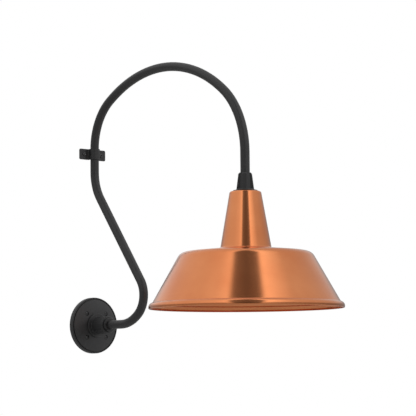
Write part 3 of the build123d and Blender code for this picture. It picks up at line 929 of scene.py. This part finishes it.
@dataclass
class Arm:
    """The bent pipe with its lock ring, the strap that holds it and the leads in it.

    Sizes in millimetres. A layer of strands is their number and the radius they lie at.
    """

    strap_z: float = 446.7
    strap_hole: float = 27.0
    thread: WallScrewThread = WallScrewThread(14.5)
    lead_gap: float = 2.6
    lead_end_x: float = -6.3
    strand_length: float = 8.2
    strand_twist: float = 16.0
    strand: float = 0.2
    outer_strands: tuple[int, float] = (12, 0.68)
    inner_strands: tuple[int, float] = (6, 0.3)

    def dress(self, shop: Workshop) -> None:
        """Puts the finishes on the CAD pieces."""
        shop.dress(Palette.BLACK_COAT, "arm_tube", "lock_ring", "pipe_strap")
        shop.dress(Palette.BLACK_SCREW, "ring_set_screw", "strap_screws")
        shop.dress(Palette.LEAD_BLACK, "live_lead")
        shop.dress(Palette.LEAD_WHITE, "neutral_lead")

    def build(self, shop: Workshop, helix: bpy.types.NodeTree) -> None:
        """Winds the strap screws' threads and lays the strands of the leads' bare ends.

        Args:
            shop: Where materials come from.
            helix: The winding tree.
        """
        places = [self.thread.start(side * self.strap_hole, self.strap_z) for side in (-1, 1)]
        threads = bake("strap_screw_threads", helix, places, self.thread.values(shop))
        shop.place(threads, FIXTURE, Palette.BLACK_SCREW)
        for name, side in (("live", 1), ("neutral", -1)):
            end = Vector((self.lead_end_x, side * self.lead_gap, 0)) * MM
            layers = (("outer", self.outer_strands), ("inner", self.inner_strands))
            for layer, (count, radius) in layers:
                values = winding(
                    shop, Palette.BARE_COPPER, radius, self.strand, self.strand_length,
                    self.strand_twist, turned=ALONG_X, phase=2 * pi / count,
                )
                strands = bake(f"{name}_{layer}_strands", helix, [end] * count, values)
                shop.place(strands, FIXTURE, Palette.BARE_COPPER)


@dataclass
class Fitter:
    """The collar on the pipe's end and what clamps the shade and the lampholder to it."""

    def dress(self, shop: Workshop) -> None:
        """Puts the finishes on the CAD pieces."""
        shop.dress(Palette.BLACK_COAT, "shade_collar")
        shop.dress(Palette.BLACK_SCREW, "collar_set_screw")
        shop.dress(Palette.GASKET_RUBBER, "collar_gasket")
        shop.dress(Palette.ZINC_STEEL, "shade_nipple", "inner_washer", "spring_washer", "lock_nut")


@dataclass
class Shade:
    """The spun shade, as a shell turned round its axis. Sizes in millimetres, heights from its rim."""

    axis_x: float = SHADE_AXIS_X
    bottom_z: float = 23.0
    sheet: float = 1.2
    hole: float = 8.8
    rim: float = 228.6
    hem: float = 1.3
    flange_height: float = 15.0
    flange_bulge: float = 3.0
    cone_foot: float = 219.5
    cone_top: tuple[float, float] = (153.9, 131.3)
    shoulder_bend: float = 23.0
    neck_foot: tuple[float, float] = (60.1, 140.7)
    neck_foot_bend: float = 4.5
    neck_top: tuple[float, float] = (36.9, 274.7)
    neck_top_bend: float = 5.0
    shading_inset: float = 0.9
    segments: int = 256
    arc_steps: int = 10

    def outline(self) -> list[tuple[float, float]]:
        """The outer face from the hole in the neck's top down to the rim.

        Returns:
            Radius and height of each point.
        """
        corners = [
            (self.hole, self.neck_top[1]), self.neck_top, self.neck_foot, self.cone_top,
            (self.cone_foot, self.flange_height),
        ]
        bends = [self.neck_top_bend, self.neck_foot_bend, self.shoulder_bend]
        body = rounded(corners, bends, self.arc_steps)
        return supported(body, self.shading_inset) + self.flange()

    def flange(self) -> list[tuple[float, float]]:
        """The convex band from the cone's foot to the hem.

        Returns:
            Its points after the cone's foot, along a circle through three points.
        """
        start = Vector((self.cone_foot, self.flange_height))
        middle = Vector((self.rim - self.flange_bulge, self.flange_height - self.flange_bulge))
        end = Vector((self.rim, self.hem))
        return arc(circle_centre(start, middle, end), start, end, self.arc_steps)[1:]

    def hem_loop(self) -> list[tuple[float, float]]:
        """The rolled hem's lower half, from outside to inside.

        Returns:
            Its points.
        """
        angles = [-pi * step / self.arc_steps for step in range(1, self.arc_steps)]
        middle = self.rim - self.hem
        return [(middle + self.hem * cos(angle), self.hem + self.hem * sin(angle)) for angle in angles]

    def build(self, shop: Workshop, lathe: bpy.types.NodeTree) -> None:
        """Turns the shell.

        Args:
            shop: Where materials come from.
            lathe: The turning tree.
        """
        outer = self.outline()
        inner = wall(outer, self.sheet)
        profile = outer + self.hem_loop() + inner[::-1]
        places, length, before = [], 0.0, Vector(profile[0])
        for radius, height in profile:
            here = Vector((radius, height))
            length += (here - before).length
            before = here
            places.append(Vector((radius, length, height)) * MM)
        values = {
            "Points": len(places), "Segments": self.segments,
            "Centre": (self.axis_x * MM, 0.0, self.bottom_z * MM),
            "Material": shop.material(Palette.COPPER_SHEET),
        }
        shell = bake("spun_shade", lathe, places, values)
        shop.place(shell, FIXTURE, Palette.COPPER_SHEET, "copper_shade")


@dataclass
class LampHolder:
    """The ceramic lampholder with its screw shell and contact. Sizes in millimetres."""

    axis_x: float = SHADE_AXIS_X
    thread_foot_z: float = 239.5
    thread_radius: float = 13.78
    thread_wire: float = 0.4
    thread_length: float = 22.0
    thread_pitch: float = LAMP_THREAD_PITCH
    thread_steps: int = 48

    def dress(self, shop: Workshop) -> None:
        """Puts the finishes on the CAD pieces."""
        shop.dress(Palette.PORCELAIN, "lampholder_cap", "lampholder_body")
        shop.dress(Palette.BRASS_PARTS, "screw_shell", "centre_contact", "terminal_screws")
        shop.dress(Palette.ZINC_STEEL, "lampholder_screws")

    def build(self, shop: Workshop, helix: bpy.types.NodeTree) -> None:
        """Rolls the thread into the screw shell.

        Args:
            shop: Where materials come from.
            helix: The winding tree.
        """
        foot = Vector((self.axis_x, 0, self.thread_foot_z)) * MM
        values = winding(
            shop, Palette.BRASS_PARTS, self.thread_radius, self.thread_wire, self.thread_length,
            self.thread_pitch, sides=ROUND_SIDES, steps=self.thread_steps,
        )
        shop.place(bake("shell_thread", helix, [foot], values), FIXTURE, Palette.BRASS_PARTS)


@dataclass
class Lamp:
    """The clear lamp that screws into the holder. Sizes in millimetres."""

    axis_x: float = SHADE_AXIS_X
    thread_foot_z: float = 236.2
    thread_radius: float = 12.88
    thread_wire: float = 0.42
    thread_length: float = 17.0
    thread_pitch: float = LAMP_THREAD_PITCH
    thread_steps: int = 48
    filament_z: float = 180.5
    coil_radius: float = 0.7
    coil_wire: float = 0.14
    coil_pitch: float = 0.42
    coil_steps: int = 14
    coil_sides: int = 5
    stem_end_z: float = 196.5
    support_root: float = 1.6
    support_depth: float = 1.0
    support_spread: float = 13.0
    support_drop: float = 2.0
    support_wire: float = 0.4
    support_bend: float = 1.5
    hook: float = 1.0

    def dress(self, shop: Workshop) -> None:
        """Puts the finishes on the CAD pieces."""
        shop.dress(Palette.LAMP_METAL, "lamp_cap")
        shop.dress(Palette.BLACK_GLASS, "lamp_insulator")
        shop.dress(Palette.SOLDER, "lamp_contact")
        shop.dress(Palette.CLEAR_GLASS, "lamp_envelope", "lamp_stem")

    def build(self, shop: Workshop, helix: bpy.types.NodeTree, drawn: bpy.types.NodeTree) -> None:
        """Rolls the cap's thread, winds the filament and bends its two supports.

        Args:
            shop: Where materials come from.
            helix: The winding tree.
            drawn: The tree for wire along a path.
        """
        foot = Vector((self.axis_x, 0, self.thread_foot_z)) * MM
        values = winding(
            shop, Palette.LAMP_METAL, self.thread_radius, self.thread_wire, self.thread_length,
            self.thread_pitch, sides=ROUND_SIDES, steps=self.thread_steps,
        )
        shop.place(bake("cap_thread", helix, [foot], values), LAMP, Palette.LAMP_METAL)
        end = Vector((self.axis_x - self.support_spread, 0, self.filament_z)) * MM
        values = winding(
            shop, Palette.TUNGSTEN, self.coil_radius, self.coil_wire, 2 * self.support_spread,
            self.coil_pitch, turned=ALONG_X, sides=self.coil_sides, steps=self.coil_steps,
        )
        coil = bake("filament_coil", helix, [end], values)
        shop.place(coil, LAMP, Palette.TUNGSTEN, "lamp_filament")
        places, edges = self.supports()
        values = {
            "Wire": self.support_wire * MM, "Bend": self.support_bend * MM, "Sides": ROUND_SIDES,
            "Material": shop.material(Palette.TUNGSTEN),
        }
        wires = bake("filament_supports", drawn, places, values, edges)
        shop.place(wires, LAMP, Palette.TUNGSTEN)

    def supports(self) -> tuple[list[Vector], list[tuple[int, int]]]:
        """The two bent wires from the stem to the filament's ends.

        Returns:
            Points and edges of both.
        """
        places, edges = [], []
        for side in (-1, 1):
            run = [
                (self.support_root, self.stem_end_z + self.support_depth),
                (self.support_root, self.stem_end_z - self.support_drop),
                (self.support_spread, self.filament_z),
                (self.support_spread + self.hook, self.filament_z - self.hook / 2),
            ]
            first = len(places)
            places += [Vector((self.axis_x + side * across, 0, up)) * MM for across, up in run]
            edges += [(first + step, first + step + 1) for step in range(len(run) - 1)]
        return places, edges


# ---------------------------------------------------------------- studio


@dataclass
class Studio:
    """Pale floor, soft light all round, a fill light and the camera at the photograph's view.

    Angles are in degrees and places in metres. The sky's level is the product of a ramp round it,
    where 0.5 is behind the camera and more is to its right, and of a ramp upward, where 0 is the
    horizon and 1 the zenith. At the horizon the ramp round it is drawn in by low_width, less taper
    for each unit upward. The fill light stands fill_turn to the right of the camera's azimuth and
    fill_height above the horizon, and is fill_breadth wide.
    """

    azimuth: float = 49.7
    elevation: float = -5.6
    roll: float = 0.5
    lens: float = 147.1
    sensor: float = 36.0
    camera_place: tuple[float, float, float] = (3.5712, -2.6312, -0.1295)
    view_limit: float = 200.0
    floor_z: float = -4.5
    floor_size: float = 60.0
    floor_paint: Finish = Finish(
        "floor_paint", (0.50, 0.50, 0.50), (0.52, 0.52, 0.52), (0.8, 0.9), depth=0.0, patch=900.0
    )
    backdrop: tuple[float, float, float] = (1.0, 1.0, 1.0)
    around: tuple[tuple[float, float], ...] = (
        (0.0, 0.8), (0.22, 0.82), (0.33, 0.95), (0.395, 1.25), (0.42, 0.24), (0.5, 0.16),
        (0.575, 0.24), (0.60, 1.45), (0.67, 1.1), (0.76, 0.72), (1.0, 0.62),
    )
    upward: tuple[tuple[float, float], ...] = ((0.0, 0.4), (0.12, 0.45), (0.3, 1.0), (1.0, 1.0))
    fill_strength: float = 2.6
    fill_breadth: float = 25.0
    fill_turn: float = 75.0
    fill_height: float = 12.0
    low_width: float = 2.1
    taper: float = 1.21

    @staticmethod
    def direction(azimuth: float, elevation: float) -> Vector:
        """Returns the unit vector towards a viewpoint or light at these angles."""
        around, above = radians(azimuth), radians(elevation)
        return Vector((sin(around) * cos(above), -cos(around) * cos(above), sin(above)))

    def camera(self) -> None:
        """Sets up the camera."""
        around, lean = radians(self.azimuth), -radians(self.roll)
        toward = self.direction(self.azimuth, self.elevation)
        right = Vector((cos(around), sin(around), 0))
        up = toward.cross(right)
        leaning_right = right * cos(lean) + up * sin(lean)
        leaning_up = up * cos(lean) - right * sin(lean)
        data = bpy.data.cameras.new("camera")
        data.lens, data.sensor_width = self.lens, self.sensor
        data.clip_end = self.view_limit
        camera = bpy.data.objects.new("camera", data)
        bpy.context.scene.collection.objects.link(camera)
        axes = Matrix((leaning_right, leaning_up, toward)).transposed().to_4x4()
        camera.matrix_world = Matrix.Translation(self.camera_place) @ axes
        bpy.context.scene.camera = camera

    def floor(self) -> None:
        """Lays the pale floor."""
        half = self.floor_size / 2
        mesh = bpy.data.meshes.new("floor")
        corners = [(-half, -half), (half, -half), (half, half), (-half, half)]
        mesh.from_pydata([(x, y, self.floor_z) for x, y in corners], [], [(0, 1, 2, 3)])
        floor = bpy.data.objects.new("floor", mesh)
        bpy.context.scene.collection.objects.link(floor)
        mesh.materials.append(self.floor_paint.material())

    def world(self) -> None:
        """Lights the room from a soft sky with a darker gap behind the camera."""
        world = bpy.data.worlds.new("studio")
        world.use_nodes = True
        bpy.context.scene.world = world
        graph = Graph(world.node_tree)
        facing = graph.add("ShaderNodeTexCoord").outputs["Generated"]
        turned = graph.add(
            "ShaderNodeMapping", {"Vector": facing, "Rotation": (0, 0, -radians(self.azimuth))}
        ).outputs[0]
        parts = graph.add("ShaderNodeSeparateXYZ", {0: turned})
        ahead = graph.math("MULTIPLY", parts.outputs["Y"], -1.0)
        azimuth = graph.math("ARCTAN2", parts.outputs["X"], ahead)
        narrowing = graph.math("MULTIPLY", parts.outputs["Z"], self.taper)
        drawn_in = graph.math("SUBTRACT", self.low_width, narrowing)
        turns = graph.math("DIVIDE", graph.math("MULTIPLY", azimuth, drawn_in), 2 * pi)
        share = graph.math("ADD", turns, 0.5)
        around = self.ramp(graph, share, self.around)
        upward = self.ramp(graph, parts.outputs["Z"], self.upward)
        sky = graph.add(
            "ShaderNodeVectorMath", {0: around, 1: upward}, operation="MULTIPLY"
        ).outputs[0]
        seen = graph.add("ShaderNodeLightPath").outputs["Is Camera Ray"]
        light = graph.blend(seen, sky, rgba(self.backdrop))
        background = graph.add("ShaderNodeBackground", {"Color": light, "Strength": 1.0})
        graph.add("ShaderNodeOutputWorld", {"Surface": background.outputs[0]})

    def fill(self) -> None:
        """Adds a broad light from the right, which glossy surfaces don't mirror."""
        data = bpy.data.lights.new("fill", "SUN")
        data.energy, data.angle = self.fill_strength, radians(self.fill_breadth)
        lamp = bpy.data.objects.new("fill", data)
        bpy.context.scene.collection.objects.link(lamp)
        toward = self.direction(self.azimuth + self.fill_turn, self.fill_height)
        lamp.rotation_euler = toward.to_track_quat("Z", "Y").to_euler()
        lamp.visible_glossy = False

    def ramp(
        self, graph: Graph, factor: bpy.types.NodeSocket, stops: tuple[tuple[float, float], ...]
    ) -> bpy.types.NodeSocket:
        """Adds a grey ramp.

        Args:
            graph: The world's graph.
            factor: What runs along the ramp.
            stops: Place and level of each stop.

        Returns:
            The ramp's colour.
        """
        node = graph.add("ShaderNodeValToRGB", {0: factor})
        elements = node.color_ramp.elements
        while len(elements) < len(stops):
            elements.new(0.5)
        for element, (at, level) in zip(elements, stops):
            element.position = at
            element.color = rgba((level, level, level))
        return node.outputs[0]

    def build(self) -> None:
        """Makes the whole studio."""
        self.camera()
        self.floor()
        self.world()
        self.fill()
        bpy.context.scene.view_settings.view_transform = "Standard"


def main() -> None:
    """Builds and dresses the sconce in its studio."""
    logging.basicConfig(level=logging.INFO, format="%(message)s")
    Studio().build()
    shop = Workshop()
    helix, drawn, lathe = helix_tree(), wire_tree(), lathe_tree()
    mount = WallMount()
    mount.dress(shop)
    mount.build(shop, helix)
    arm = Arm()
    arm.dress(shop)
    arm.build(shop, helix)
    Fitter().dress(shop)
    Shade().build(shop, lathe)
    holder = LampHolder()
    holder.dress(shop)
    holder.build(shop, helix)
    lamp = Lamp()
    lamp.dress(shop)
    lamp.build(shop, helix, drawn)


if __name__ == "__main__":
    main()
